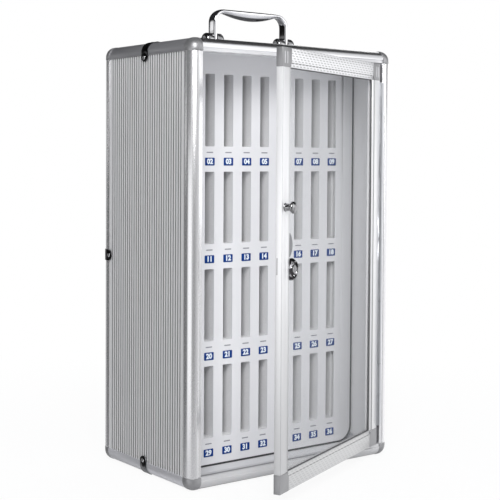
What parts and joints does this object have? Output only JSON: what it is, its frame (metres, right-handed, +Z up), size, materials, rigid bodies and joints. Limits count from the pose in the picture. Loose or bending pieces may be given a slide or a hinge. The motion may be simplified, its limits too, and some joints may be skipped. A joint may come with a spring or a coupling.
{
  "type": "phone locker box",
  "caption": "Upright portable locker box: ribbed case with edge profiles, slotted insert for phones, clear hinged door with cam lock and knob, folding top handle.",
  "frame": {"origin": "centre of the base, under the middle of the case", "axes": "+Z up; the door faces -Y; +X to the right when facing the door"},
  "size_m": [0.3148, 0.3226, 0.568],
  "materials": {
    "frame": "satin anodised",
    "ribbed": "satin ribbed sheet",
    "base": "matt",
    "corner": "satin grey",
    "chrome": "polished",
    "insert": "smooth white",
    "foam": "soft grey foam",
    "steel": "satin",
    "clear": "clear"
  },
  "bodies": {
    "case": {"side_panel_left": "ribbed", "side_panel_right": "ribbed", "back_panel": "ribbed", "top_panel": "ribbed", "bottom_panel": "base", "front_post_left": "frame", "front_post_right": "frame", "front_rail_top": "frame", "front_rail_bottom": "frame", "rear_post_left": "frame", "rear_post_right": "frame", "rear_rail_top": "frame", "rear_rail_bottom": "frame", "side_rail_top_left": "frame", "side_rail_top_right": "frame", "side_rail_bottom_left": "frame", "side_rail_bottom_right": "frame", "case_corners": "corner", "edge_clips": "chrome", "clip_rivets": "chrome", "slot_panel": "insert", "foam_bars": "foam", "foam_spacers": "foam", "back_lining": "foam", "strike_plate": "steel", "strike_screws": "steel", "hinge_leaf_case": "steel", "hinge_pin": "steel", "hinge_case_screws": "steel", "handle_brackets": "chrome", "handle_pins": "chrome", "bracket_screws": "steel"},
    "door": {"door_stile_free": "frame", "door_stile_hinge": "frame", "door_rail_top": "frame", "door_rail_bottom": "frame", "door_corners": "corner", "door_pane": "clear", "hinge_leaf_door": "steel", "hinge_door_screws": "steel", "knob": "chrome", "knob_screw": "steel", "lock_housing": "chrome", "lock_nut": "steel", "half_round_plate": "steel"},
    "lock": {"lock_plug": "chrome", "lock_cam": "steel", "cam_screw": "steel"},
    "handle": {"handle_bail": "chrome"}
  },
  "joints": [
    {"name": "door_hinge", "type": "hinge", "parent": "case", "child": "door", "pos_m": [0.136, -0.1005, 0.26], "axis": [0, 0, 1], "range_deg": [-24, 146]},
    {"name": "lock_turn", "type": "hinge", "parent": "door", "child": "lock", "pos_m": [-0.08858, -0.19721, 0.261], "axis": [-0.4067, 0.9135, 0], "range_deg": [0, 90]},
    {"name": "handle_fold", "type": "hinge", "parent": "case", "child": "handle", "pos_m": [0, 0, 0.5293], "axis": [1, 0, 0], "range_deg": [-88, 88]}
  ]
}
